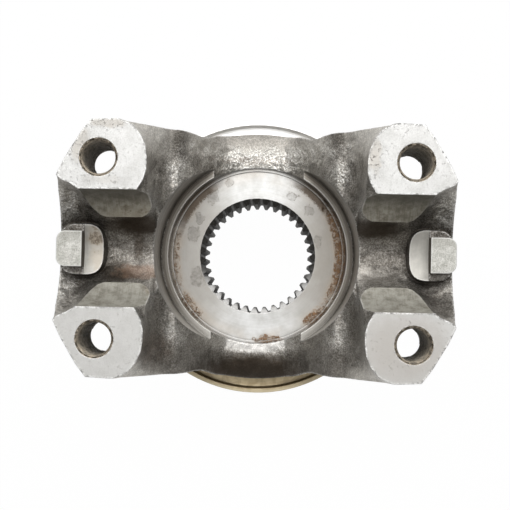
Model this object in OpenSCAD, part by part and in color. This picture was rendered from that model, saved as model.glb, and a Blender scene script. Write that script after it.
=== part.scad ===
// Half-round pinion flange: the end yoke that a drive shaft's universal joint is strapped to.
// One steel forging, machined where it mates, with a pressed dust slinger on its hub.
// Millimetres. Origin on the bore axis at the hub's end face, +Z towards the universal joint,
// X along the bearing caps. Depths are measured down from the strap pads.

/* [Overall] */
// Height from the hub's end face to the strap pads
height = 83.6; // [80:0.2:92]

/* [Bearing cap seats] */
// Diameter of the half-round seats
cap_d = 34.93; // [32:0.01:37]
// Distance between the inner faces of the tangs
seat_span = 106.8; // [104:0.1:110]
// Width of a tang
tang_w = 10.9; // [8:0.1:13]
// Thickness of a tang along the cap axis
tang_t = 7.8; // [6.5:0.1:9]
// Height of a tang above the lowest line of the seat
tang_h = 6.3; // [4:0.1:8]
// Width of the land in front of a tang
land_w = 15.6; // [14:0.1:18]
// Length of the land in front of a tang
land_len = 5.6; // [4:0.1:8]

/* [Strap bolts] */
// Bolt spacing along the cap axis
bolt_x = 94.4; // [92:0.1:97]
// Bolt spacing across the cap axis
bolt_y = 53.98; // [52:0.01:57]
// Diameter of the tapped holes inside the thread
thread_d = 9.8; // [8:0.1:10.4]
// Diameter of the countersinks
countersink_d = 11.6; // [11:0.1:13]

/* [Ears] */
// Length of the forging over both ears
ear_length = 121.4; // [118:0.2:125]
// Width of the forging at the pads
ear_width = 77.2; // [74:0.2:81]
// Direction that the cut-off corners face, from the cap axis
corner_angle = 31.2; // [27:0.2:36]
// Distance of the cut-off corners from the bore axis
corner_reach = 62.8; // [60:0.2:66]
// Depth at which the bolt bosses end
boss_depth = 27.4; // [24:0.2:31]
// How far an ear's outer face leans in towards the pads
ear_draft = 0.6; // [0:0.1:3]
// How far the waist between ear and body is pinched
waist = 0.4; // [0:0.1:2]

/* [Body] */
// Diameter of the round body between the ears
body_d = 85.2; // [80:0.2:90]
// Depth of the shoulder under the body
shoulder_depth = 58; // [56:0.2:61]
// How far the body rounds in towards the shoulder
belly_round = 4.6; // [1:0.1:6]

/* [Valley between the ears] */
// Width of the valley at the pads
valley_w = 65.6; // [62:0.2:68]
// How far the valley's floor lies above the nut face
rim_rise = 2; // [1:0.1:5]
// Radius of the flare at the valley's two ends
valley_flare = 13; // [8:0.5:16]
// Radius of the rounded shoulder of the valley's floor
floor_round = 9; // [6:0.5:12]
// Depth of the shelves on the valley's two sides
shelf_depth = 21.2; // [18:0.2:26]
// Width of the saddle that dips between the shelves
saddle_w = 51; // [44:0.5:56]

/* [Forged troughs] */
// Width of a trough between its two pads, before machining
trough_w = 26.8; // [22:0.2:30]
// Depth of a trough's floor
trough_depth = 21.8; // [20:0.2:25]
// Width of a trough where it opens at the ear's outer face
trough_mouth_w = 39; // [34:0.5:42]
// Radius of the flare where a trough meets the valley
trough_flare = 5; // [3:0.5:7]
// Radius of the pads' rounded corners at the ear's outer face
pad_corner = 5; // [2:0.5:6]

/* [Pocket and nut face] */
// Diameter of the pocket's outer wall
pocket_d = 64.6; // [63:0.2:69]
// Diameter of the pocket below the ledge
pocket_inner_d = 59.6; // [58.4:0.2:62]
// Height of the ledge above the nut face
ledge_rise = 8; // [6:0.2:10]
// Depth of the nut face
nut_depth = 52; // [49:0.2:54]
// Diameter of the nut face
nut_face_d = 57.6; // [54:0.2:58]
// Height of the narrow ring around the nut face
ring_rise = 0.6; // [0.2:0.1:1.2]

/* [Spline] */
// Number of spline teeth
teeth = 35; // [24:1:40]
// Diameter at the spline's root
spline_root_d = 38.9; // [36:0.1:41]
// Diameter at the spline's tips
spline_tip_d = 35.6; // [33:0.1:35.8]
// Share of a tooth pitch that is flat at the tip
tip_share = 0.28; // [0.15:0.01:0.4]
// Depth of the lead-in that the teeth start below
spline_lead = 2.6; // [1:0.1:4]
// Chamfer of the bore at the hub's end
bore_chamfer = 1.6; // [0.5:0.1:2.5]

/* [Hub] */
// Diameter of the ground journal that the oil seal runs on
journal_d = 60.3; // [57:0.1:62]
// Chamfer at the hub's end
journal_chamfer = 1.5; // [0.5:0.1:3]
// Diameter of the seat that the slinger is pressed on
slinger_seat_d = 64; // [63:0.1:67]
// Length of the slinger's seat below the shoulder
slinger_seat_h = 7; // [5:0.2:9]

/* [Dust slinger] */
// Thickness of the slinger's sheet
sheet = 1.4; // [1:0.1:1.8]
// Outer diameter of the slinger
slinger_d = 93.6; // [90:0.2:98]
// Length of the slinger's collar
collar_h = 5.4; // [3:0.2:6]
// How far the slinger's dish drops towards its rim
dish_drop = 1.8; // [0.5:0.1:3]
// Height of the slinger's turned-up rim
rim_h = 4.6; // [3:0.1:6]

/* [Hidden] */

cap_r = cap_d / 2;
over = 6;

tang_x = seat_span / 2;
tang_corner = tang_w / 4;
lump_top_depth = cap_r - 2;

valley_r = valley_w / 2;
valley_floor = nut_depth - rim_rise;
ledge_depth = nut_depth - ledge_rise;
shoulder_z = height - shoulder_depth;
body_r = body_d / 2;

// How a value eases from 0 to 1 between two places
function ease(x, a, b) = let (t = min(1, max(0, (x - a) / (b - a)))) t * t * (3 - 2 * t);

// Half the chord that a quarter-round flare of radius r adds at distance s along it
function flare(s, r) = r - sqrt(max(0, r * r - pow(min(r, max(0, s)), 2)));

// Plan outline of the forging

corner_sharpness = 80;
boss_fade = 4;
boss_shrink = 15;
neck_start = boss_depth + 3;
neck_end = shoulder_depth - floor_round;
waist_angle = atan2(ear_width / 2, 17);
waist_spread = 9;
corner_x = ear_length / 2 - ear_draft;
corner_in = atan2((corner_reach - corner_x * cos(corner_angle)) / sin(corner_angle), corner_x);
corner_out = atan2(ear_width / 2,
    (corner_reach - ear_width / 2 * sin(corner_angle)) / cos(corner_angle));

// Rounded eight-sided block: half length, half width and the cut-off corners
function block_r(angle, depth) =
    let (c = abs(cos(angle)), s = abs(sin(angle)),
         reach = corner_reach - boss_shrink * ease(depth, boss_depth - boss_fade, boss_depth + boss_fade),
         half_len = ear_length / 2 - ear_draft * (1 - ease(depth, 0, cap_r)))
    pow(pow(c / half_len, corner_sharpness)
        + pow(s / (ear_width / 2), corner_sharpness)
        + pow((c * cos(corner_angle) + s * sin(corner_angle)) / reach, corner_sharpness),
        -1 / corner_sharpness);

// Round body that the ears grow from
belly_h = 12;
function body_radius(depth) =
    let (t = min(1, max(0, (depth - shoulder_depth + belly_h) / belly_h)))
    body_r - belly_round * (1 - sqrt(1 - t * t));

// Angle from the cap axis, folded into the first quarter
function folded(angle) = let (a = angle % 180) a > 90 ? 180 - a : a;

function outline_r(angle, depth) =
    let (blend = ease(depth, neck_start, neck_end),
         pinch = waist * exp(-pow((folded(angle) - waist_angle) / waist_spread, 2)))
    block_r(angle, depth) * (1 - blend) + body_radius(depth) * blend - pinch * (1 - blend);

// Angles of one quarter, with points on both ends of the cut-off corner
quarter = concat(
    [for (i = [0:4]) corner_in * i / 5],
    [for (i = [0:3]) corner_in + (corner_out - corner_in) * i / 4],
    [for (i = [0:11]) corner_out + (90 - corner_out) * i / 12]);
half = concat(quarter, [90], [for (i = [len(quarter) - 1:-1:1]) 180 - quarter[i]]);
angles = concat(half, [for (a = half) a + 180]);

depth_steps = concat(
    [-over, 0, cap_r / 3, cap_r * 2 / 3, cap_r],
    [for (i = [-1:0.5:1]) boss_depth + boss_fade * i],
    [for (i = [1:6]) boss_depth + boss_fade + (neck_end - boss_depth - boss_fade) * i / 6],
    [for (i = [1:3]) neck_end + (shoulder_depth - neck_end) * sin(30 * i)]);

// A solid through closed rings of points; each ring turns anticlockwise seen from the last one
module loft(rings) {
    n = len(rings[0]);
    last = (len(rings) - 1) * n;
    polyhedron(
        points = [for (ring = rings) each ring],
        faces = concat(
            [[for (i = [0:n - 1]) i]],
            [for (k = [0:n:last - n]) for (i = [0:n - 1]) let (j = (i + 1) % n)
                each [[k + i, k + n + i, k + n + j], [k + i, k + n + j, k + j]]],
            [[for (i = [n - 1:-1:0]) last + i]]),
        convexity = 6);
}

// How far a lip still reaches out at a depth, as it fades out downwards
function lip_at(lip, lip_depth, depth) =
    let (fade = max(0, 1 - depth / lip_depth)) lip * fade * fade * (3 - 2 * fade);

// Half an ellipse hanging below the pads, closed far above them. Its mouth opens wider by a lip.
arch_steps = 30;
function arch(half_w, depth, lip, lip_depth) = concat(
    [for (i = [0:arch_steps]) let (t = i / arch_steps, a = 180 + 180 * (t - 0.1 * sin(360 * t)))
        [half_w * cos(a) + sign(cos(a)) * lip_at(lip, lip_depth, -depth * sin(a)), depth * sin(a)]],
    [[half_w + lip, over * 2], [-half_w - lip, over * 2]]);

// The valley's section on one side, from the pad down to a shelf and from there down into the
// saddle. The powers say how full the shelf's corner and the saddle's floor are.
shelf_power = 2.3;
saddle_power = 3.5;
saddle_steps = 14;
function valley_side(sink, lip) =
    let (saddle_r = saddle_w / 2, shelf = shelf_depth + sink)
    concat(
        [for (a = [0:10:80]) let (depth = shelf * pow(sin(a), 2 / shelf_power))
            [saddle_r + (valley_r - saddle_r) * pow(cos(a), 2 / shelf_power)
                + lip_at(lip, valley_flare * 1.5, depth), -depth]],
        [for (i = [0:saddle_steps]) let (x = saddle_r * (1 + cos(180 * i / saddle_steps)) / 2)
            [x, -shelf - (valley_floor - shelf_depth) * (1 - pow(ease(x, 0, saddle_r), saddle_power))]]);

module outer_form() {
    loft([for (k = [len(depth_steps) - 1:-1:0]) let (d = depth_steps[k])
        [for (a = angles) let (r = outline_r(a, d)) [r * cos(a), r * sin(a), height - d]]]);
}

// The valley runs across the cap axis, flares at both ends and rounds down over the body.
// It leaves the body at a blunt edge, as at a forging's parting line.
parting_edge = 1.5;
module valley() {
    flare_y = ear_width / 2 - valley_flare + parting_edge;
    floor_y = body_r - floor_round + parting_edge;
    inner = min(flare_y, floor_y);
    steps = [for (i = [0:10]) inner + (body_r + over - inner) * sin(9 * i)];
    stations = concat([for (i = [10:-1:0]) -steps[i]], [for (y = steps) y]);
    loft([for (y = stations) let (out = abs(y),
            lip = flare(out - flare_y, valley_flare) + max(0, out - ear_width / 2),
            side = valley_side(flare(out - floor_y, floor_round) + max(0, out - body_r), lip),
            edge = len(side) - 1, top = height + over * 2)
        concat(
            [for (p = side) [p[0], y, height + p[1]]],
            [for (i = [edge - 1:-1:0]) [-side[i][0], y, height + side[i][1]]],
            [[-valley_r - lip, y, top], [valley_r + lip, y, top]])]);
}

// A forged trough runs along the cap axis between the two pads of an ear. Its mouth opens
// round the tang, and its lip rounds the pads' corners off at both ends.
mouth_rise = 5;
lip_stretch = 1.4;
module trough() {
    inner_x = valley_r - 1.5;
    mouth_start = tang_x - 7;
    mouth_end = tang_x + 4;
    mouth_x = ear_length / 2;
    lip_wide = cap_r - trough_w / 2 + trough_flare + 1;
    lip_long = lip_wide * lip_stretch;
    stations = concat(
        [inner_x - 12],
        [for (i = [0:8]) inner_x + lip_long * (1 - cos(90 / 8 * i))],
        [for (i = [0:5]) mouth_start + (mouth_x - pad_corner - mouth_start) * i / 5],
        [for (i = [1:5]) mouth_x - pad_corner * (1 - sin(18 * i))],
        [mouth_x + over]);
    loft([for (x = stations) let (
            open = ease(x, mouth_start, mouth_end),
            half_w = trough_w / 2 + (trough_mouth_w - trough_w) / 2 * open
                + flare(inner_x + trough_flare - x, trough_flare),
            lip = flare(valley_r + lip_long - x, lip_long) * lip_wide / lip_long
                + flare(x - mouth_x + pad_corner, pad_corner),
            deep = trough_depth - mouth_rise * ease(x, tang_x - 3, mouth_x + 2))
        [for (p = arch(half_w, deep, lip, trough_flare * 1.6)) [x, p[0], height + p[1]]]]);
}

// The drafted lump that carries a land and its tang
lump_draft = 0.16;
lump_steps = 32;
lump_depths = [for (i = [5:-1:0]) lump_top_depth + (boss_depth - lump_top_depth) * i / 5];
function rounded(angle, half, power) =
    half * sign(cos(angle)) * pow(abs(cos(angle)), power);
module lump() {
    loft([for (d = lump_depths) let (
            grow = lump_draft * (d - lump_top_depth),
            x_in = tang_x - land_len - grow,
            x_out = tang_x + tang_t - 0.3 - grow,
            mid = (x_in + x_out) / 2, half_x = (x_out - x_in) / 2, half_y = land_w / 2 + grow)
        [for (i = [0:lump_steps - 1]) let (a = 360 * i / lump_steps)
            [mid + rounded(a, half_x, 0.6), rounded(a - 90, half_y, 0.6), height - d]]]);
}

module tang() {
    flat = tang_w / 2 - tang_corner;
    translate([0, 0, height - cap_r - 3]) linear_extrude(tang_h + 3) {
        translate([tang_x, -tang_w / 2]) square([tang_t - tang_corner, tang_w]);
        translate([tang_x, -flat]) square([tang_t, flat * 2]);
        for (side = [-1, 1])
            translate([tang_x + tang_t - tang_corner, side * flat]) circle(tang_corner, $fn = 48);
    }
}

module both_ears() {
    children();
    rotate([0, 0, 180]) children();
}

module forging() {
    difference() {
        outer_form();
        valley();
        both_ears() trough();
    }
    both_ears() lump();
}

// The turned hub: journal, slinger seat and a core that reaches up into the forging
module hub() {
    rotate_extrude($fn = 96) polygon([
        [0, 0], [journal_d / 2 - journal_chamfer, 0], [journal_d / 2, journal_chamfer],
        [journal_d / 2, shoulder_z - slinger_seat_h], [slinger_seat_d / 2, shoulder_z - slinger_seat_h],
        [slinger_seat_d / 2, shoulder_z + 2], [0, shoulder_z + 2]]);
}

// Pocket, ledge, wall and the narrow ring round the nut face
module pocket() {
    r = pocket_d / 2;
    small = (pocket_d - pocket_inner_d) / 10;
    translate([0, 0, height]) rotate_extrude($fn = 128) polygon([
        [0, over], [r, over], [r, small - ledge_depth], [r - small, -ledge_depth],
        [pocket_inner_d / 2, -ledge_depth], [pocket_inner_d / 2, ring_rise - nut_depth],
        [nut_face_d / 2, ring_rise - nut_depth], [nut_face_d / 2, -nut_depth], [0, -nut_depth]]);
}

// Straight-flanked internal spline, open at both ends, with a lead-in cut through its teeth
lead_edge = 0.15;
module spline_bore() {
    pitch = 360 / teeth;
    tip = pitch * tip_share / 2;
    root = pitch * (1 - tip_share) / 6;
    translate([0, 0, -1]) linear_extrude(shoulder_z + 2 + height)
        polygon([for (i = [0:teeth - 1]) for (p = [
                [spline_tip_d / 2, -tip], [spline_tip_d / 2, tip],
                [spline_root_d / 2, pitch / 2 - root], [spline_root_d / 2, pitch / 2 + root]])
            let (a = i * pitch + p[1]) [p[0] * cos(a), p[0] * sin(a)]]);
    wide = spline_root_d / 2 + bore_chamfer + 1;
    narrow = spline_tip_d / 2 - 1;
    translate([0, 0, -1]) cylinder(h = wide - narrow, r1 = wide, r2 = narrow, $fn = 96);
    mouth = spline_root_d / 2 + lead_edge;
    taper = mouth - spline_tip_d / 2;
    translate([0, 0, height - nut_depth - spline_lead * 2])
        cylinder(h = spline_lead * 3, r1 = mouth - taper * 2, r2 = mouth + taper, $fn = 96);
}

module bolt_hole() {
    sink = (countersink_d - thread_d) / 2;
    translate([0, 0, height - boss_depth - boss_fade * 2])
        cylinder(h = boss_depth + boss_fade * 2 + over, d = thread_d, $fn = 48);
    translate([0, 0, height - sink])
        cylinder(h = sink * 2, d1 = thread_d, d2 = countersink_d + sink * 2, $fn = 48);
}

module flange_yoke() {
    color("dimgray") difference() {
        union() {
            difference() {
                forging();
                translate([0, 0, height]) rotate([0, 90, 0])
                    cylinder(h = seat_span, r = cap_r, center = true, $fn = 128);
            }
            both_ears() tang();
            hub();
        }
        translate([-ear_length, -ear_width, height])
            cube([ear_length * 2, ear_width * 2, over * 3]);
        pocket();
        spline_bore();
        for (x = [-1, 1], y = [-1, 1])
            translate([x * bolt_x / 2, y * bolt_y / 2, 0]) bolt_hole();
    }
}

// Collar, dished web and turned-up rim, rolled from one thickness of sheet. The flat web ends
// where the body's underside does, and the rim stands clear of the body's side.
rim_clear = 0.5;
module dust_slinger() {
    seat = slinger_seat_d / 2;
    rim = max(slinger_d / 2, body_r + rim_clear + sheet);
    top = shoulder_z;
    web_end = body_r - belly_round;
    dish_end = rim - sheet * 2.4;
    dip = top - sheet - dish_drop;
    color("goldenrod") rotate_extrude($fn = 128) polygon([
        [seat, top], [web_end, top], [dish_end, dip + sheet], [rim - sheet * 1.4, dip + sheet * 1.3],
        [rim - sheet, dip + sheet * 2], [rim - sheet, dip + rim_h], [rim, dip + rim_h],
        [rim, dip + sheet * 1.2], [rim - sheet * 0.9, dip], [dish_end, dip],
        [web_end, top - sheet], [seat + sheet * 2, top - sheet], [seat + sheet, top - sheet * 2],
        [seat + sheet, top - collar_h], [seat, top - collar_h]]);
}

flange_yoke();
dust_slinger();
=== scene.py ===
"""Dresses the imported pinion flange: forged skin, machined seats, threads, zinc slinger, studio."""

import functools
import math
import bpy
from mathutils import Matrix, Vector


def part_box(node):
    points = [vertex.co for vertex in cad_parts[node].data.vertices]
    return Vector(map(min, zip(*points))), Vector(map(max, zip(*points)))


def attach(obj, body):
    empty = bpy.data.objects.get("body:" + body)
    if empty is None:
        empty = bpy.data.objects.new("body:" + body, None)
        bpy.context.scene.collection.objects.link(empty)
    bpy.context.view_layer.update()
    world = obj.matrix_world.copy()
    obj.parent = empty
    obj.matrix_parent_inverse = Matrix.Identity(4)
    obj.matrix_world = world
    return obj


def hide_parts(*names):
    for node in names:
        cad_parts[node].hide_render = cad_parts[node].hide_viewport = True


bl_info = {
    "name": "Pinion flange",
    "version": (1, 0, 0),
    "blender": (4, 5, 0),
    "location": "3D View > Sidebar > Pinion Flange",
    "description": "Builds the half-round pinion flange on its packed frame, with its finishes and studio",
    "category": "Object",
}

import bmesh
import bpy
from bpy.props import FloatProperty, FloatVectorProperty, IntProperty, PointerProperty
from mathutils import Matrix, Vector

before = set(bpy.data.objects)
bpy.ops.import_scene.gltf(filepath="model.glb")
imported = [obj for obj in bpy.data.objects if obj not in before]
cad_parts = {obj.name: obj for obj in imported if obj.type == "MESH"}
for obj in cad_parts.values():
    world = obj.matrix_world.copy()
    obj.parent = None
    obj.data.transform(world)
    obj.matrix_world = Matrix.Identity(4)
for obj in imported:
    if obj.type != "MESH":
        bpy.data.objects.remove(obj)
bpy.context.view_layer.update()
MM = 0.001

# The machined places of the forging, in millimetres, as the part's source has them
PAD_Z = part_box("flange_yoke")[1].z / MM
CAP_R = 17.465
SEAT_END = 53.4
TANG_TOP = PAD_Z - CAP_R + 6.3
TANG_FOOT = TANG_TOP - 7
TANG_WIDE = 10.9
BOLT = (47.2, 26.99)
HOLE_R = 4.9
SINK_R = 5.8
POCKET_R = 32.3
POCKET_WALLS = (28.8, 29.8, POCKET_R)
LEDGE_Z = PAD_Z - 44
NUT_Z = PAD_Z - 52
RING_Z = NUT_Z + 0.6
SPLINE_TOP = NUT_Z - 0.1
BORE_R = 19.7
SHOULDER_Z = PAD_Z - 58
HUB_R = 32.0
HOLES = [(sx * BOLT[0], sy * BOLT[1]) for sx in (-1, 1) for sy in (-1, 1)]

# An ear's underside: its height on a bolt hole's axis, and how it climbs outwards along x and y
UNDER_Z = PAD_Z - 27.75
UNDER_SLOPE = (0.355, 0.222)

# The photograph's camera, in pixels of its square frame and in millimetres
FRAME_PX = 510
FOCAL_PX = 1150.6
VANISHING = (272.5, 291.0)
PAD_CENTRE = (255.3, 250.65)
PAD_DISTANCE = 340.0
ROLL = math.radians(1.15)
SENSOR = 36
CLIP_START = 10


# Shader maths

class Field:
    """A shader socket that sums and products can be written with."""

    def __init__(self, surface, socket):
        self.surface = surface
        self.socket = socket

    def _math(self, operation, first, second):
        return self.surface.node("ShaderNodeMath", {"operation": operation}, {0: first, 1: second})

    def __add__(self, other):
        return self._math("ADD", self, other)

    __radd__ = __add__

    def __sub__(self, other):
        return self._math("SUBTRACT", self, other)

    def __rsub__(self, other):
        return self._math("SUBTRACT", other, self)

    def __mul__(self, other):
        return self._math("MULTIPLY", self, other)

    __rmul__ = __mul__

    def __truediv__(self, other):
        return self._math("DIVIDE", self, other)

    def __rtruediv__(self, other):
        return self._math("DIVIDE", other, self)

    def __pow__(self, other):
        return self._math("POWER", self, other)

    def __rpow__(self, other):
        return self._math("POWER", other, self)

    def least(self, other):
        return self._math("MINIMUM", self, other)

    def most(self, other):
        return self._math("MAXIMUM", self, other)

    def size(self):
        return self._math("ABSOLUTE", self, 0.0)

    def step(self, zero_at, one_at):
        """Eases from 0 at one value to 1 at the other, whichever of the two is the greater."""
        return self.surface.node(
            "ShaderNodeMapRange",
            {"interpolation_type": "SMOOTHSTEP"},
            {"Value": self, "From Min": zero_at, "From Max": one_at},
        )

    def sibling(self, name):
        """Another output of the node that this socket belongs to."""
        return Field(self.surface, self.socket.node.outputs[name])


class Surface:
    """One finish: a material with one Principled shader, and the fields that its looks are made of."""

    def __init__(self, name, **plain):
        self.material = bpy.data.materials.new(name)
        self.material.use_nodes = True
        self.tree = self.material.node_tree
        self.shader = self.tree.nodes["Principled BSDF"]
        for key, value in plain.items():
            self.shader.inputs[key.replace("_", " ").title()].default_value = value
        coords = self.node("ShaderNodeTexCoord", out="Object")
        self.place = self.node("ShaderNodeVectorMath", {"operation": "SCALE"}, {0: coords, "Scale": 1 / MM})
        axes = self.node("ShaderNodeSeparateXYZ", None, {0: self.place})
        self.x, self.y, self.z = (axes.sibling(axis) for axis in "XYZ")
        self.radius = (self.x * self.x + self.y * self.y) ** 0.5

    def node(self, kind, settings=None, inputs=None, out=0):
        """Adds a node: its settings first, then its sockets' values or links."""
        made = self.tree.nodes.new(kind)
        for key, value in (settings or {}).items():
            setattr(made, key, value)
        for key, value in (inputs or {}).items():
            if isinstance(value, Field):
                self.tree.links.new(value.socket, made.inputs[key])
            else:
                made.inputs[key].default_value = value
        return Field(self, made.outputs[out])

    def set(self, name, field):
        self.tree.links.new(field.socket, self.shader.inputs[name])

    def mix(self, share, first, second, way="MIX"):
        """Mixes two colours, which the node takes in its sockets 6 and 7 and gives from its socket 2."""
        return self.node(
            "ShaderNodeMix",
            {"data_type": "RGBA", "blend_type": way},
            {0: share, 6: rgba(first), 7: rgba(second)},
            out=2,
        )

    def stretched(self, *scale):
        return self.node("ShaderNodeVectorMath", {"operation": "MULTIPLY"}, {0: self.place, 1: scale})

    def noise(self, scale, detail=2.0, rough=0.5, warp=0.0, at=None):
        inputs = {"Scale": scale, "Detail": detail, "Roughness": rough, "Distortion": warp}
        return self.node("ShaderNodeTexNoise", None, {"Vector": at or self.place, **inputs})

    def rings(self, scale, along_z=0.0):
        """Turned lines round the bore."""
        at = self.node("ShaderNodeCombineXYZ", None, {0: self.radius, 1: self.z * along_z, 2: 0.0})
        return self.noise(scale, 3.0, 0.7, at=at)

    def blot(self, x, y, reach_x, reach_y, share, ragged, scale=0.3):
        """A soft, ragged patch in plan, in millimetres: its share in its middle, 0 beyond its reach."""
        u, v = (self.x - x) / reach_x, (self.y - y) / reach_y
        away = (u * u + v * v) ** 0.5 + (self.noise(scale, 3.0) - 0.5) * ragged
        return away.step(1.0, 0.35) * share

    def blots(self, *rows):
        """The strongest of several blots. A row holds what blot takes, in the same order."""
        return functools.reduce(Field.most, [self.blot(*row) for row in rows])

    def shade(self, distance, inside=False):
        """1 in the open, less in hollows, or on edges where it looks inside."""
        return self.node(
            "ShaderNodeAmbientOcclusion",
            {"samples": 6, "inside": inside, "only_local": True},
            {"Distance": distance * MM},
            out="AO",
        )

    def worn_lit_edge(self, width, zero_at=0.93, one_at=0.6):
        """1 on the edges, which wear and a painted edge highlight brighten, 0 on open faces."""
        return self.shade(width, inside=True).step(zero_at, one_at)

    def bump(self, *heights, soft=0.0):
        """Heights in millimetres, over edges rounded by the soft radius."""
        inputs = {"Strength": 1.0, "Distance": MM, "Height": functools.reduce(Field.__add__, heights)}
        if soft:
            inputs["Normal"] = self.node("ShaderNodeBevel", {"samples": 4}, {"Radius": soft * MM})
        self.set("Normal", self.node("ShaderNodeBump", None, inputs))


def rgba(tone):
    if isinstance(tone, Field) or len(tone) == 4:
        return tone
    return (*tone, 1.0)


# Sizes and colours that a user would change

def colour(name, description, value):
    return FloatVectorProperty(
        name=name, description=description, default=value, subtype="COLOR", min=0, max=1
    )


def length(name, description, value, least):
    return FloatProperty(
        name=name, description=description, default=value, min=least,
        subtype="DISTANCE", unit="LENGTH", precision=5,
    )


def power(name, description, value):
    return FloatProperty(name=name, description=description, default=value, subtype="POWER")


class FlangeFinish(bpy.types.PropertyGroup):
    scale_dark: colour("Dark scale", "Forging scale in its darker patches", (0.060, 0.051, 0.041))
    # Worn scale is also the tone of the forging's painted highlights
    scale_light: colour("Worn scale", "Forging scale where it is worn bright", (0.33, 0.313, 0.283))
    milled: colour("Milled steel", "Freshly cut steel of the pads", (0.65, 0.645, 0.63))
    seat: colour("Seat steel", "Steel of the bearing cap seats", (0.43, 0.41, 0.355))
    turned: colour("Turned steel", "Steel of the nut face and its pocket", (0.66, 0.66, 0.65))
    rust: colour("Rust", "Brown surface rust", (0.20, 0.095, 0.04))
    stain: colour("Oil stain", "Thin tan film left by oil and heat", (0.42, 0.33, 0.23))
    zinc: colour("Yellow zinc", "Plating of the dust slinger", (0.82, 0.71, 0.50))
    zinc_pale: colour("Pale zinc", "Plating along the slinger's rim", (0.54, 0.47, 0.33))


class FlangeThread(bpy.types.PropertyGroup):
    pitch: length("Pitch", "Rise of the strap bolts' thread in a turn", 1.27 * MM, 0.5 * MM)
    major: length("Major diameter", "Diameter at the bottom of the thread's grooves", 11.0 * MM, 10.0 * MM)
    turns: IntProperty(name="Turns", description="Turns of thread in a hole", default=23, min=1, max=25)
    steps: IntProperty(name="Steps", description="Facets in a turn of thread", default=32, min=12, max=64)


class FlangeStudio(bpy.types.PropertyGroup):
    focal: FloatProperty(
        name="Focal length", description="Camera lens on a 36 mm sensor",
        default=FOCAL_PX / FRAME_PX * SENSOR, subtype="DISTANCE_CAMERA",
    )
    overhead: power("Overhead lamp", "Power of the soft lamp beside the camera", 1.9)
    top: power("Top lamp", "Power of the soft lamp above the picture", 5.0)
    back: power("Back lamp", "Power of the soft lamp that stands behind the object", 7.5)
    low: power("Low lamp", "Power of the soft lamp below the picture", 0.4)
    cove: length("Cove", "Radius of the round paper cove that the object stands in", 2.5, 1.0)
    room: FloatProperty(name="Room", description="Brightness of the room", default=0.12, min=0)


# Finishes

# Bright edges: bare where worn, and a painted edge highlight
BARE_LIT_EDGE = (0.75, 0.74, 0.71)


def pair(x, *rest):
    """Rows for two like blots, one on each side of the bore."""
    return (-x, *rest), (x, *rest)


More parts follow.
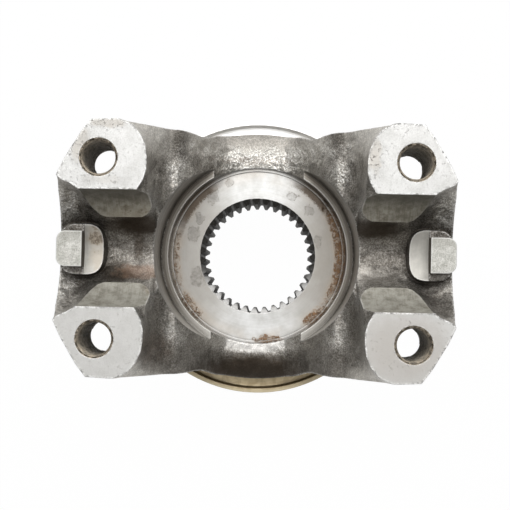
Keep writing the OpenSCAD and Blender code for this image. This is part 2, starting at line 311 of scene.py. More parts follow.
def forged_skin(look):
    """Dark scale with a fine grain, worn pale in places, with painted highlights on what stands proud and
    painted shade, dark brown, in the hollows.
    """
    sheen = (0.52, 0.51, 0.485)
    brighter = (1.8, 1.77, 1.72)
    # The dark brown of the painted shade in the hollows
    dust = (0.05, 0.043, 0.034)
    dark = (0.034, 0.024, 0.015)
    painted_gleam = (0.44, 0.41, 0.37)
    glint_and_wear = (0.80, 0.79, 0.76)
    lip_highlight = (0.72, 0.70, 0.67)

    s = Surface("forged_skin", metallic=0.8)
    broad = s.noise(0.08, 3.0, 0.6, 0.6)
    patch = s.noise(0.34, 4.0, 0.65)
    grain = s.noise(1.7, 4.0, 0.75)
    sparkle = s.noise(3.2, 2.0, 0.6)
    open_air = s.shade(14.0)
    across = s.x.size()

    # Painted highlights where the scale stands proud and faces the lamps: the body's two shoulders, the
    # corners of the valley and the ears' ends
    crest = s.blots(
        (3, 32, 30, 6, 1.0, 1.2, 0.25), (0, -28.7, 21, 5.6, 1.6, 0.5),
        *pair(25, 25, 5, 6, 0.6, 0.9), *pair(25, -26, 5, 5, 0.5, 0.9), *pair(59, 13.5, 5, 6, 1.3, 0.6),
        (-60, -9, 4, 12, 0.6, 0.6), (-59, -11, 5, 5, 0.55, 0.6), (59, -11, 5, 5, 0.15, 0.6),
    )
    # The valley's upper flanks, which face the top lamp, take painted light; the skirt lightens the body's
    # lower corners
    flank = s.y.step(27, 37) * across.step(18, 24) * across.step(26, 29)
    flank = flank.most(s.y.step(28, 38) * across.step(24, 18) * 0.6)
    skirt = s.y.step(-33, -38) * across.step(22, 28)
    shelf = across.step(20, 24.5) * across.step(31, 26) * s.y.size().step(22, 30)
    # The scale is worn pale in patches at random; the open-air term also keeps it dark in the hollows as
    # painted shade, and the crest and flank terms add painted highlights
    worn = broad * 0.5 + patch * 0.6 + grain * 0.5 + open_air * 0.5 - 0.84
    worn = worn + crest * 0.4 + flank * 0.95 + skirt * 0.35
    base = s.mix(worn.step(0.0, 0.85), look.scale_dark, look.scale_light)
    # Painted sheen on the upper flanks
    base = s.mix(flank * 0.3 * patch.step(0.3, 0.6), base, sheen)
    base = s.mix(grain.step(0.42, 0.60) * 0.5, base, s.mix(1.0, base, brighter, "MULTIPLY"))
    # Painted shade: the hollows, and a little the shelf, are darkened to a dark brown
    hollow = (open_air + (patch - 0.5) * 0.5).step(0.62, 0.2)
    base = s.mix((hollow * 0.8).most(shelf * 0.12), base, dust)

    # Painted shade on the sides that turn away from the lamps, and on patches in the troughs' beds
    bed = s.blots(
        (-43.5, -7, 8, 5, 0.8, 0.6), (-37, 3, 3, 9, 0.7, 0.6), (57, -14, 7, 6, 0.45, 0.6),
        *pair(36, 8, 15, 4.5, 1.0, 0.5), (36, 0, 14, 5, 0.35, 0.7), (-36, 1, 12, 4, 0.3, 0.7),
    )
    lee = s.blots(
        (-1, -38.5, 30, 8.5, 1.0, 0.5), (-30, -32, 7, 10, 0.6, 0.8), (0, 41, 34, 7, 0.35, 0.5),
        *pair(26, 37, 5, 8, 0.3, 0.7), *pair(26, -35, 6, 8, 0.4, 0.7),
    ).most(bed * s.z.step(50, 54))
    base = s.mix(lee * 0.92, base, dark)
    # Painted highlights on the lower part of the troughs' beds
    gleam = s.blots((37, -6.5, 11, 3.5, 1.0, 0.8), (-36, -6, 9, 3.5, 1.0, 0.8))
    base = s.mix(gleam * (patch * 1.2).least(1.0) * 0.8, base, painted_gleam)

    # Rust in the left trough, at the lower left corner and along the shoulders
    trough = s.blot(-37, -6.5, 10, 4.0, 1.0, 0.8) * s.z.step(54, 58) * s.z.step(70, 66)
    rust = trough.most(s.blots(
        (-31, -30, 9, 9, 0.4, 0.9), (-37, 2, 3, 8, 0.32, 0.9), (0, -37, 26, 5, 0.3, 0.7),
        (-4, 32, 28, 2.5, 0.5, 0.7), (-14, 38, 12, 5, 0.3, 0.8), (0, 43, 30, 4, 0.3, 0.5),
    ))
    rust = rust * (patch + grain * 0.7 - 0.15)
    base = s.mix(rust.step(0.15, 0.75) * 0.55, base, look.rust)

    # Grains of painted highlight on the lit crests, kept out of the painted shade, and bright edges: worn,
    # with a painted edge highlight
    highlight_grains = (sparkle * 0.6 + grain * 0.6).step(0.58, 0.70) * open_air.step(0.2, 0.7)
    highlight_grains = highlight_grains * (crest * 0.9 + 0.2).least(1.0) * (1.0 - lee)
    base = s.mix(highlight_grains.most(s.worn_lit_edge(0.7) * grain.step(0.4, 0.6) * 0.7), base, glint_and_wear)
    # Painted highlight along the body's shoulder below the pocket
    base = s.mix(s.blot(0, -29.5, 15, 4.0, 0.8, 0.6), base, lip_highlight)
    s.set("Base Color", base)
    dull = patch * 0.14 + rust * 0.15 + lee * 0.05 + shelf * 0.3 + s.y.step(28, 34) * 0.08
    s.set("Roughness", 0.34 + dull - highlight_grains * 0.1 - crest * 0.04)
    hammered = s.noise(0.3, 3.0, 0.6, 0.5) * (crest.least(1.0) * s.y.step(0, 20) + 0.15)
    s.bump(s.noise(0.12, 2.0) * 1.6, hammered, patch * 0.14, grain * 0.12, sparkle * 0.05, soft=0.8)
    return s.material


def milled_pad(look):
    """Milled steel of the strap pads, with bright nicked edges, specks and stains."""
    dull = (0.42, 0.415, 0.395)
    stained = (0.46, 0.39, 0.30)
    warm = (0.44, 0.405, 0.37)
    shaded = (0.50, 0.49, 0.465)
    pitted = (0.22, 0.19, 0.155)
    bright = (0.92, 0.92, 0.9)
    nicked = (0.10, 0.09, 0.08)

    s = Surface("milled_pad", metallic=0.8)
    cloud = s.noise(0.22, 4.0, 0.6)
    fine = s.noise(2.0, 5.0, 0.85)
    speck = s.noise(1.1, 6.0, 0.75, 0.5)
    marks = s.noise(1.0, 2.0, at=s.stretched(3.0, 0.4, 1.0))
    edge = s.worn_lit_edge(0.8, 0.95, 0.65)
    base = s.mix((cloud * 0.7 + fine * 0.9 - 0.3).step(0.1, 0.7), dull, look.milled)
    stain = s.blots(
        (-52, 30, 5, 8, 1.0, 0.9), (-44, 37.5, 10, 3, 1.0, 0.9), (34.5, 29, 4.5, 9, 1.0, 0.9),
        (-46, 20.5, 12, 2.5, 0.7, 0.8),
    )
    spots = stain * (fine * 1.3 + cloud * 0.5)
    base = s.mix(spots.step(0.4, 1.2) * 0.4, base, stained)
    base = s.mix(s.blot(44, -28, 18, 14, 0.85, 0.4), base, warm)
    base = s.mix(s.y.step(0, -20) * 0.45, base, shaded)
    pits = speck.step(0.56, 0.65) * (cloud.step(0.4, 0.6) * 0.4 + stain * 0.8 + 0.15)
    base = s.mix(pits * 0.45, base, pitted)
    # Bright edges: worn, with a painted edge highlight
    base = s.mix(edge * fine.step(0.42, 0.58) * 0.8, base, bright)
    nick = edge * s.noise(0.45, 3.0, 0.6, 0.4).step(0.53, 0.60)
    base = s.mix(nick * 0.45, base, nicked)
    s.set("Base Color", base)
    s.set("Roughness", 0.40 + fine * 0.2 + stain * 0.1)
    s.bump(marks * 0.025, fine * 0.03, pits * -0.06, nick * -0.25, soft=0.35)
    return s.material


def cap_seat(look):
    """Cut steel of the half-round seats: fine lines round the seat, brown specks and stains."""
    dull = (0.19, 0.175, 0.14)
    shaded = (0.11, 0.105, 0.09)
    lit_tan = (0.46, 0.42, 0.34)
    lit = (0.46, 0.45, 0.40)
    clean = (0.60, 0.585, 0.55)
    rusted = (0.09, 0.06, 0.035)

    s = Surface("cap_seat", metallic=0.5)
    lines = s.noise(1.0, 4.0, 0.7, at=s.stretched(2.4, 0.14, 0.14))
    cloud = s.noise(0.35, 5.0, 0.7)
    speck = s.noise(0.8, 4.0, 0.7, 0.5)
    base = s.mix((cloud * 1.4 + lines * 0.7 - 0.65).step(0.1, 0.75), dull, look.seat)
    base = s.mix(s.y.step(13.0, 17.0) * 0.55, base, shaded)
    # Painted light: the left upper seat is lighter and tan near its lower edge, which turns up towards the
    # lamps
    base = s.mix(s.blot(-38, 10.5, 14, 3.5, 0.5, 0.8), base, lit_tan)
    base = s.mix(s.y.step(-8, -11) * (cloud * 1.4 - 0.35), base, lit)
    base = s.mix(s.blot(-30, -12, 4, 4, 0.35, 0.8), base, look.stain)
    land = s.y.size().step(9.4, 9.0)
    tan = s.blots((-49.5, 4, 4, 6, 1.0, 1.4, 0.5), (-49, -3, 4, 6, 0.6, 1.4, 0.5)) * land
    base = s.mix(land * 0.6, base, clean)
    base = s.mix(tan * 0.55, base, look.stain)
    dots = s.blots(
        (-40, 12, 4, 3, 1.0, 0.6), (-35, 11.5, 5, 3, 1.0, 0.6), (39, 11.5, 4, 2.5, 1.0, 0.6),
        (-33, -12, 4, 3, 1.0, 0.6), (-44, 11, 4, 2.5, 0.8, 0.6),
    )
    brown = (speck * (tan + dots * 0.8)).step(0.34, 0.60)
    base = s.mix(brown * 0.7, base, rusted)
    # Bright edges: worn, with a painted edge highlight
    base = s.mix(s.worn_lit_edge(0.6) * 0.6, base, BARE_LIT_EDGE)
    s.set("Base Color", base)
    s.set("Roughness", 0.38 + lines * 0.25)
    s.bump(lines * 0.06, cloud * 0.03, soft=0.3)
    return s.material


def tang_steel():
    """Coined faces of the tangs, with a painted shadow at the root of their inner face."""
    dull = (0.27, 0.265, 0.23)
    clean = (0.70, 0.69, 0.65)
    shaded = (0.20, 0.19, 0.16)
    bright = (0.80, 0.80, 0.77)
    painted_shade = (0.06, 0.045, 0.032)

    s = Surface("tang_steel", metallic=0.6)
    cloud = s.noise(0.5, 4.0, 0.65)
    fine = s.noise(2.4, 4.0, 0.75)
    base = s.mix((cloud * 0.5 + fine * 0.8).step(0.40, 0.9), dull, clean)
    base = s.mix(s.y.step(1, 5.5) * 0.4, base, shaded)
    # Bright edges: worn, with a painted edge highlight
    base = s.mix(s.worn_lit_edge(0.6) * 0.7, base, bright)
    # Painted shadow on the tang's inner face, below its top
    root = (TANG_TOP - s.z).step(0.3, 0.7)
    base = s.mix(root * 0.85, base, painted_shade)
    s.set("Base Color", base)
    s.set("Roughness", 0.42 + fine * 0.15 + root * 0.5)
    s.bump(cloud * 0.08, fine * 0.05, soft=0.45)
    return s.material


def turned_pocket(look):
    """Nut face, ledge and wall, turned in one setting; rust creeps in round the face's edge."""
    dull = (0.46, 0.455, 0.435)
    shaded = (0.31, 0.29, 0.26)
    tarnish = (0.20, 0.17, 0.13)
    dried = (0.20, 0.185, 0.165)
    rust_film = (0.44, 0.30, 0.18)
    rust_dark = (0.13, 0.07, 0.04)
    rust_light = (0.36, 0.21, 0.11)
    edge_dark_brown = (0.085, 0.06, 0.04)
    wall_dark = (0.13, 0.115, 0.095)
    wall_light = (0.27, 0.25, 0.22)
    wall_lit = (0.50, 0.485, 0.45)
    under_ledge_shadow = (0.10, 0.085, 0.065)
    painted_shade = (0.045, 0.037, 0.030)

    s = Surface("turned_pocket", metallic=0.85)
    fine = s.rings(6.0, along_z=1.0)
    broad = s.rings(1.1, along_z=1.0)
    cloud = s.noise(0.22, 4.0, 0.6)
    speck = s.noise(0.75, 5.0, 0.75, 0.6)
    flaky = s.noise(1.5, 5.0, 0.8, 0.8)
    rise = s.z - NUT_Z
    side = (s.x.size() / (s.radius + 0.01)).step(0.25, 0.85)
    base = s.mix((fine * 0.3 + cloud).step(0.35, 0.95), dull, look.turned)
    base = s.mix(side * 0.78, base, shaded)
    base = s.mix(s.blot(25, 1, 8, 24, 0.3, 0.6), base, tarnish)
    film = s.radius.step(23.5, 27.5) * s.noise(0.15, 3.0).step(0.4, 0.6)
    base = s.mix(film * 0.2, base, look.stain)

    # Dried water marks on the nut face, darkest along their outlines
    marks = s.blots(
        (-15.6, 20.2, 2.4, 3.0, 1.0, 1.6, 0.5), (-10.1, 24.7, 1.9, 1.5, 1.0, 1.6, 0.6),
        (-20, 12.5, 2.0, 2.4, 1.0, 1.6, 0.5), (-21.9, 7.3, 2.4, 3.2, 0.8, 1.8, 0.4),
        (11.5, 20.6, 2.8, 1.8, 0.7, 1.8, 0.5), (17, 16, 1.8, 2.6, 0.7, 1.8, 0.5),
        (20.5, 5, 1.8, 3.4, 0.7, 1.8, 0.4), (-20, -7, 3.0, 4.0, 0.5, 2.0, 0.3),
    )
    outline = marks.step(0.02, 0.3) * marks.step(0.8, 0.4)
    mottle = s.noise(0.9, 4.0, 0.7).step(0.38, 0.62)
    base = s.mix((outline * 0.8).most(marks * 0.5) * (mottle * 0.7 + 0.3), base, dried)

    # Rust that creeps in from the edge of the nut face, and a dark brown band along its upper edge
    creeping = s.blots(
        (31, 3, 16, 27, 1.0, 0.5), (20, -20, 8, 5, 1.0, 1.4, 0.5), (4, -28.2, 6, 2.2, 1.0, 1.4, 0.5),
        (-22, -17, 7, 8, 0.5, 1.4, 0.5), (-27, -2, 3, 14, 0.4, 0.8),
    )
    creep = s.radius.step(25.2, 27.6) * (creeping * 0.95 + 0.1) * rise.step(1.2, 0.8)
    base = s.mix(creep * 0.5 * (cloud + 0.2), base, rust_film)
    rust = creep.step(0.1, 0.6) * (speck * 0.6 + flaky * 0.9 + creep * 0.15).step(0.80, 0.94)
    base = s.mix(rust * 0.9, base, s.mix(flaky.step(0.4, 0.6), rust_dark, rust_light))
    upper_edge_dark = s.blots((-21, 18, 11, 17, 1.0, 0.6), (18, 20, 12, 10, 1.0, 0.6))
    upper_edge_dark = upper_edge_dark * (s.radius + flaky * 3.0).step(27.4, 28.6)
    base = s.mix(upper_edge_dark * 0.9 * (flaky * 0.8 + 0.6).least(1.0), base, edge_dark_brown)

    # The wall and ledge, banded by the tool; painted light on the lower wall, and painted shade below the
    # ledge and in their corners
    wall = rise.step(1.5, 2.5)
    base = s.mix(wall * 0.9, base, s.mix(broad.step(0.4, 0.6), wall_dark, wall_light))
    base = s.mix(wall * s.y.step(-12, -28) * 0.6, base, wall_lit)
    base = s.mix(wall * s.radius.step(29.5, 29.1) * 0.35, base, under_ledge_shadow)
    base = s.mix(s.shade(3.5).step(0.85, 0.35) * 0.85, base, painted_shade)
    # Bright edges: worn, with a painted edge highlight
    base = s.mix(s.worn_lit_edge(0.6) * 0.5, base, BARE_LIT_EDGE)
    s.set("Base Color", base)
    s.set("Roughness", 0.30 + cloud * 0.14 + rust * 0.3 + marks * 0.12)
    s.bump(fine * 0.015, broad * 0.03, speck * rust * 0.1, soft=0.25)
    return s.material


def spline_steel():
    """Broached teeth, oiled dark in their grooves; the lead-in on the lower side of the bore is brighter,
    as painted light.
    """
    oiled = (0.05, 0.047, 0.042)
    worn = (0.09, 0.085, 0.077)
    bright = (0.80, 0.79, 0.77)

    s = Surface("spline_steel")
    fine = s.noise(1.6, 3.0, 0.7, at=s.stretched(1.0, 1.0, 0.2))
    # Painted light: the lead-in on the lower side of the bore, which faces the top lamp, is made bright
    mouth = (NUT_Z - s.z).step(4.0, 1.0) * s.y.step(-2, -12)
    base = s.mix(fine.step(0.35, 0.65), oiled, worn)
    s.set("Base Color", s.mix(mouth * 0.9, base, bright))
    s.set("Metallic", 0.6 - mouth * 0.5)
    s.set("Roughness", 0.58 + fine * 0.2)
    s.bump(fine * 0.05)
    return s.material


def tapped_steel():
    """Tapped threads with old oil and rust in them, and a painted beige highlight near their mouths."""
    dull = (0.13, 0.115, 0.09)
    clean = (0.30, 0.265, 0.21)
    mouth_highlight = (0.42, 0.34, 0.25)

    s = Surface("tapped_steel", metallic=0.5)
    cloud = s.noise(0.6, 4.0, 0.7)
    fine = s.noise(2.2, 3.0, 0.7)
    mouth = (PAD_Z - s.z).step(9, 0.5)
    base = s.mix(cloud.step(0.35, 0.65), dull, clean)
    # Painted highlight near the holes' mouths
    s.set("Base Color", s.mix(mouth * (cloud + fine).step(0.8, 1.2) * 0.5, base, mouth_highlight))
    s.set("Roughness", 0.36 + cloud * 0.15)
    s.bump(cloud * 0.06, fine * 0.03, soft=0.12)
    return s.material


def ground_hub():
    """Turned and ground hub: bright journal, lathe lines on its end."""
    dull = (0.34, 0.33, 0.315)
    bright = (0.50, 0.49, 0.47)

    s = Surface("ground_hub", metallic=0.95)
    end = s.rings(2.5)
    around = s.noise(1.0, 3.0, 0.7, at=s.stretched(0.05, 0.05, 6.0))
    cloud = s.noise(0.15, 3.0)
    s.set("Base Color", s.mix((cloud * 0.6 + end * 0.4).step(0.2, 0.8), dull, bright))
    s.set("Roughness", 0.26 + cloud * 0.14)
    s.bump(end * 0.012, around * 0.006, soft=0.2)
    return s.material


def yellow_zinc(look):
    """Rolled sheet with yellow passivated zinc, painted near white on its upper side as a painted
    reflection of the lamps, paler along the rim.
    """
    dull = (0.50, 0.41, 0.25)
    shaded = (0.20, 0.15, 0.09)
    brown = (0.24, 0.17, 0.09)
    top_glare = (0.96, 0.955, 0.94)

    s = Surface("yellow_zinc")
    lines = s.rings(1.6, along_z=0.6)
    cloud = s.noise(0.12, 3.0, 0.6, 0.8)
    # The worn mask marks the upper side, which is painted near white as a painted reflection of the lamps
    worn = s.y.step(8, 36)
    base = s.mix((lines * 0.7 + cloud * 0.8 - 0.25).step(0.1, 0.9), dull, look.zinc)
    base = s.mix(s.radius.step(42.0, 45.4) * 0.3, base, shaded)
    base = s.mix(s.noise(0.22, 3.0, 0.6, 1.0).step(0.45, 0.62) * 0.35, base, brown)
    base = s.mix(s.radius.step(45.6, 46.2) * 0.7, base, look.zinc_pale)
    s.set("Base Color", s.mix(worn, base, top_glare))
    s.set("Metallic", 0.95 - worn * 0.1)
    s.set("Roughness", 0.42 + cloud * 0.15 - worn * 0.05)
    s.bump(lines * 0.03, soft=0.2)
    return s.material


# Meshes

# Corners this close are joined, and corners this near a cutting plane lie on it, in metres
MERGE = 2e-6
ON_PLANE = 1e-7

# How far two faces fold where their edge starts to look sharp
FORGING_SHARP = math.radians(32)
THREAD_SHARP = math.radians(25)
SHEET_SHARP = math.radians(40)


def merged_copy(node):
    """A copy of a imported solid's mesh, with its loose triangles joined."""
    bm = bmesh.new()
    bm.from_mesh(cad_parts[node].data)
    bmesh.ops.remove_doubles(bm, verts=bm.verts, dist=MERGE)
    return bm


def smooth_below(bm, angle):
    """Shades every face smooth, and every edge that folds less than the angle."""
    for face in bm.faces:
        face.smooth = True
    for edge in bm.edges:
        edge.smooth = edge.calc_face_angle(0) < angle


def add_mesh(name, bm, *materials):
    mesh = bpy.data.meshes.new(name)
    bm.to_mesh(mesh)
    bm.free()
    item = bpy.data.objects.new(name, mesh)
    bpy.context.scene.collection.objects.link(item)
    for material in materials:
        mesh.materials.append(material)
    return item


def add_piece(name, bm, *materials):
    piece = add_mesh(name, bm, *materials)
    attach(piece, "root")
    return piece


def weigh_normals(piece):
    """Lets the large faces lead the shading of the small ones beside them."""
    weighted = piece.modifiers.new("weighted", "WEIGHTED_NORMAL")
    weighted.keep_sharp = True


# The forging

SKIN, PAD, SEAT, TANG, POCKET, SPLINE, TAPPED, HUB = range(8)

# The least z of a level face's normal, the most of an upright one's, and a chamfer's tolerance
FLAT = 0.995
UPRIGHT = 0.02
LEAN = 0.01

# How near a corner has to lie to a machined surface, in millimetres
NEAR = 0.06


def finish_of(face):
    """Which finish a face of the forging has, by where its corners lie, in millimetres."""
    corners = [v.co / MM for v in face.verts]
    n = face.normal
    middle = face.calc_center_median() / MM

    def all_near(distance):
        return all(abs(distance(c)) < NEAR for c in corners)

    for x, y in HOLES:
        if all(math.hypot(c.x - x, c.y - y) < SINK_R + NEAR for c in corners):
            return TAPPED
    if all_near(lambda c: c.z - PAD_Z) and n.z > FLAT:
        return PAD
    if all(c.xy.length < BORE_R for c in corners):
        return SPLINE if middle.z < SPLINE_TOP else POCKET
    if all(c.xy.length < POCKET_R + NEAR and c.z > NUT_Z - NEAR for c in corners):
        level = n.z > FLAT and any(all_near(lambda c, z=z: c.z - z) for z in (NUT_Z, RING_Z, LEDGE_Z))
        upright = abs(n.z) < UPRIGHT and any(all_near(lambda c, r=r: c.xy.length - r) for r in POCKET_WALLS)
        chamfer = abs(n.z - math.sqrt(0.5)) < LEAN
        if level or upright or chamfer:
            return POCKET
    if all(c.z < SHOULDER_Z + NEAR and c.xy.length < HUB_R + NEAR for c in corners):
        return HUB
    if abs(middle.x) < SEAT_END + NEAR and all_near(lambda c: math.hypot(c.y, c.z - PAD_Z) - CAP_R):
        return SEAT
    if all(abs(c.y) < TANG_WIDE / 2 + NEAR and abs(c.x) > SEAT_END - NEAR for c in corners):
        if all(c.z > TANG_FOOT for c in corners) and (n.z > FLAT or abs(n.z) < UPRIGHT):
            return TANG
    return SKIN


def widen_holes(bm, radius):
    """Opens the tapped holes to the bottom of their grooves, where the thread's ridges start."""
    for v in bm.verts:
        c = v.co / MM
        for x, y in HOLES:
            away = math.hypot(c.x - x, c.y - y)
            if abs(away - HOLE_R) < NEAR:
                c.x = x + (c.x - x) * radius / away
                c.y = y + (c.y - y) * radius / away
                if abs(c.z - (PAD_Z - SINK_R + HOLE_R)) < NEAR:
                    c.z = PAD_Z - SINK_R + radius
                v.co = c * MM


class FLANGE_OT_forging(bpy.types.Operator):
    """Makes the forging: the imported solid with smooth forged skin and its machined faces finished"""

    bl_idname = "flange.make_forging"
    bl_label = "Forging"

    def execute(self, context):
        look = context.scene.flange_finish
        bm = merged_copy("flange_yoke")
        smooth_below(bm, FORGING_SHARP)
        for face in bm.faces:
            face.material_index = finish_of(face)
        for edge in bm.edges:
            if len({face.material_index for face in edge.link_faces}) > 1:
                edge.smooth = False
        widen_holes(bm, context.scene.flange_thread.major / MM / 2)
        piece = add_piece(
            "forged_flange", bm,
            forged_skin(look), milled_pad(look), cap_seat(look), tang_steel(),
            turned_pocket(look), spline_steel(), tapped_steel(), ground_hub(),
        )
        weigh_normals(piece)
        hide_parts("flange_yoke")
        return {"FINISHED"}


# The threads

# How deep a ridge's root lies in the hole's wall, and its gap to the countersink, in millimetres
ROOT_DEPTH = 0.15
SINK_GAP = 0.02

# Half widths of a ridge at its root and at its tip, as shares of the pitch
ROOT_SHARE = 0.44
TIP_SHARE = 0.07


def trim_to_ear(bm, x, y):
    """Cuts a ridge off at the ear's sloped underside and closes the cut."""
    slope = Vector((-math.copysign(UNDER_SLOPE[0], x), -math.copysign(UNDER_SLOPE[1], y), 1))
    bmesh.ops.bisect_plane(
        bm, geom=[*bm.verts, *bm.edges, *bm.faces], dist=ON_PLANE,
        plane_co=Vector((x, y, UNDER_Z)) * MM, plane_no=slope, clear_inner=True,
    )
    bmesh.ops.holes_fill(bm, edges=[e for e in bm.edges if e.is_boundary])
    bmesh.ops.recalc_face_normals(bm, faces=bm.faces)


def clear_countersink(bm, x, y):
    """Pushes what would stand in the countersink's cone out to its face."""
    for v in bm.verts:
        depth = PAD_Z * MM - v.co.z
        away = Vector((v.co.x - x * MM, v.co.y - y * MM))
        least = SINK_R * MM - depth + SINK_GAP * MM
        if away.length < least:
            away *= least / away.length
            v.co.x, v.co.y = x * MM + away.x, y * MM + away.y


def thread_ridge(size, x, y, bottom):
    """One tapped hole's ridge: a closed profile carried round and up, trimmed at both ends of the hole."""
    bm = bmesh.new()
    root, crest = size.major / 2 + ROOT_DEPTH * MM, HOLE_R * MM
    half, tip = size.pitch * ROOT_SHARE, size.pitch * TIP_SHARE
    corners = [(root, -half), (crest, -tip), (crest, tip), (root, half)]
    ring = [bm.verts.new((r, 0, h)) for r, h in corners]
    edges = [bm.edges.new(ends) for ends in zip(ring, ring[1:] + ring[:1])]
    bmesh.ops.spin(
        bm, geom=ring + edges, cent=(0, 0, 0), axis=(0, 0, 1), dvec=(0, 0, size.pitch / size.steps),
        angle=math.tau * size.turns, steps=size.steps * size.turns, use_duplicate=False,
    )
    bmesh.ops.holes_fill(bm, edges=[e for e in bm.edges if e.is_boundary], sides=len(ring))
    bmesh.ops.translate(bm, vec=(x * MM, y * MM, bottom), verts=bm.verts)
    trim_to_ear(bm, x, y)
    clear_countersink(bm, x, y)
    smooth_below(bm, THREAD_SHARP)
    return bm


class FLANGE_OT_threads(bpy.types.Operator):
    """Makes the thread ridges in the four strap bolt holes"""

    bl_idname = "flange.make_threads"
    bl_label = "Threads"

    def execute(self, context):
        size = context.scene.flange_thread
        steel = tapped_steel()
        bottom = PAD_Z * MM - size.pitch * (size.turns + ROOT_SHARE)
        for number, (x, y) in enumerate(HOLES, 1):
            piece = add_piece(f"thread_{number}", thread_ridge(size, x, y, bottom), steel)
        return {"FINISHED"}


class FLANGE_OT_slinger(bpy.types.Operator):
    """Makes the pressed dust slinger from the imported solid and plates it"""

    bl_idname = "flange.make_slinger"
    bl_label = "Dust slinger"

    def execute(self, context):
        bm = merged_copy("dust_slinger")
        smooth_below(bm, SHEET_SHARP)
        piece = add_piece("zinc_slinger", bm, yellow_zinc(context.scene.flange_finish))
        weigh_normals(piece)
        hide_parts("dust_slinger")
        return {"FINISHED"}


# The stage

# Each lamp's name, place and size in metres; its power is the studio's value of the same name
LAMPS = (
    ("overhead", (0.0, 0.0, 0.85), (0.8, 0.6)),
    ("top", (0.0, 0.45, 0.80), (1.0, 0.5)),
    ("back", (0.0, 0.85, 0.55), (1.6, 0.9)),
    ("low", (0.0, -0.60, 0.70), (1.0, 0.4)),
)
LIT_POINT = Vector((0, 0, PAD_Z * MM / 2))

# The cove's wall in metres, its facets, and how much of what is seen of its paper is plain white
COVE_WALL = 0.75
COVE_FACETS = 96
PLAIN_SHARE = 0.985
WHITE = (1, 1, 1, 1)
PAPER = (0.9, 0.9, 0.9, 1)


def ray(pixel):
    """The camera's ray through a pixel: right, down and one unit ahead."""
    right, down = ((place - FRAME_PX / 2) / FOCAL_PX for place in pixel)
    return Vector((right, down, 1))


def photo_view():
    """The camera's place and axes, from where the bore's axis vanishes and how far the pads are."""
    z = -ray(VANISHING).normalized()
    x = Vector((math.cos(ROLL), math.sin(ROLL), 0))
    x = (x - z * x.dot(z)).normalized()
    y = z.cross(x)

    def in_object(v):
        return Vector((v.dot(x), v.dot(y), v.dot(z)))

    right, down, ahead = (in_object(Vector(a)) for a in ((1, 0, 0), (0, 1, 0), (0, 0, 1)))
    view = Matrix((right, -down, -ahead)).transposed().to_4x4()
    view.translation = (in_object(-ray(PAD_CENTRE) * PAD_DISTANCE) + Vector((0, 0, PAD_Z))) * MM
    return view


def add_camera(lens):
    camera = bpy.data.objects.new("camera", bpy.data.cameras.new("camera"))
    camera.matrix_world = photo_view()
    camera.data.sensor_width = SENSOR
    camera.data.lens = lens
    camera.data.clip_start = CLIP_START * MM
    bpy.context.scene.collection.objects.link(camera)
    bpy.context.scene.camera = camera


def add_lamp(name, place, size, energy):
    """A soft lamp that points at the object's middle and that the camera doesn't see."""
    light = bpy.data.lights.new(name, "AREA")
    light.shape = "RECTANGLE"
    light.size, light.size_y = size
    light.energy = energy
    item = bpy.data.objects.new(name, light)
    aim = (LIT_POINT - Vector(place)).to_track_quat("-Z", "Y").to_matrix().to_4x4()
    item.matrix_world = Matrix.Translation(place) @ aim
    item.visible_camera = False
    bpy.context.scene.collection.objects.link(item)


def floor_paper():
    """White paper. Seen straight or in metal it is almost plain white, with a trace of shadow."""
    s = Surface("floor_paper", base_color=PAPER, roughness=0.9)
    straight = s.node("ShaderNodeLightPath", out="Is Camera Ray")
    mirrored = straight.sibling("Is Glossy Ray") + straight.sibling("Is Transmission Ray")
    seen = (straight + mirrored).least(1.0)
    white = s.node("ShaderNodeEmission", None, {"Color": WHITE, "Strength": 1.0})
    paper = Field(s, s.shader.outputs[0])
    mixed = s.node("ShaderNodeMixShader", None, {0: seen * PLAIN_SHARE, 1: paper, 2: white})
    s.tree.links.new(mixed.socket, s.tree.nodes["Material Output"].inputs["Surface"])
    return s.material


def paper_cove(radius):
    """A round sheet of paper with a wall round it, so that no view from above looks past it."""
    bm = bmesh.new()
    bmesh.ops.create_circle(bm, cap_ends=True, segments=COVE_FACETS, radius=radius)
    rim = bmesh.ops.extrude_edge_only(bm, edges=[e for e in bm.edges if e.is_boundary])["geom"]
    wall = [v for v in rim if isinstance(v, bmesh.types.BMVert)]
    bmesh.ops.translate(bm, vec=(0, 0, COVE_WALL), verts=wall)
    bmesh.ops.recalc_face_normals(bm, faces=bm.faces)
    return bm


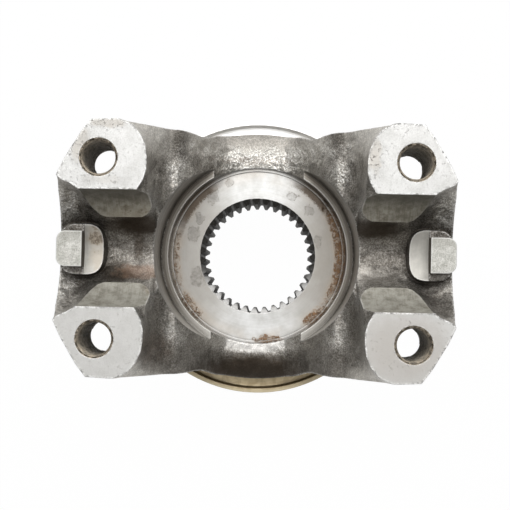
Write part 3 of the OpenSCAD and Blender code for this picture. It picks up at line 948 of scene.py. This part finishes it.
class FLANGE_OT_stage(bpy.types.Operator):
    """Makes the camera, the pale floor and the soft lamps"""

    bl_idname = "flange.make_stage"
    bl_label = "Stage"

    def execute(self, context):
        scene, studio = context.scene, context.scene.flange_studio
        add_camera(studio.focal)
        floor = add_mesh("floor", paper_cove(studio.cove), floor_paper())
        for name, place, size in LAMPS:
            add_lamp(name, place, size, getattr(studio, name))
        world = bpy.data.worlds.new("room")
        world.use_nodes = True
        world.node_tree.nodes["Background"].inputs["Color"].default_value = WHITE
        world.node_tree.nodes["Background"].inputs["Strength"].default_value = studio.room
        scene.world = world
        scene.view_settings.view_transform = "Standard"
        return {"FINISHED"}


# The add-on

class FLANGE_PT_panel(bpy.types.Panel):
    bl_idname = "FLANGE_PT_panel"
    bl_label = "Pinion Flange"
    bl_space_type = "VIEW_3D"
    bl_region_type = "UI"
    bl_category = "Pinion Flange"

    def draw(self, context):
        layout, scene = self.layout, context.scene
        for group in (scene.flange_finish, scene.flange_thread, scene.flange_studio):
            box = layout.box()
            for key in group.bl_rna.properties.keys():
                if key not in {"rna_type", "name"}:
                    box.prop(group, key)
        for operator in OPERATORS:
            layout.operator(operator.bl_idname)


OPERATORS = (FLANGE_OT_stage, FLANGE_OT_forging, FLANGE_OT_threads, FLANGE_OT_slinger)
CLASSES = (FlangeFinish, FlangeThread, FlangeStudio, *OPERATORS, FLANGE_PT_panel)


def register():
    for cls in CLASSES:
        bpy.utils.register_class(cls)
    bpy.types.Scene.flange_finish = PointerProperty(type=FlangeFinish)
    bpy.types.Scene.flange_thread = PointerProperty(type=FlangeThread)
    bpy.types.Scene.flange_studio = PointerProperty(type=FlangeStudio)


def unregister():
    del bpy.types.Scene.flange_studio
    del bpy.types.Scene.flange_thread
    del bpy.types.Scene.flange_finish
    for cls in reversed(CLASSES):
        bpy.utils.unregister_class(cls)


def main():
    register()
    bpy.ops.flange.make_stage()
    bpy.ops.flange.make_forging()
    bpy.ops.flange.make_threads()
    bpy.ops.flange.make_slinger()


if __name__ == "__main__":
    main()
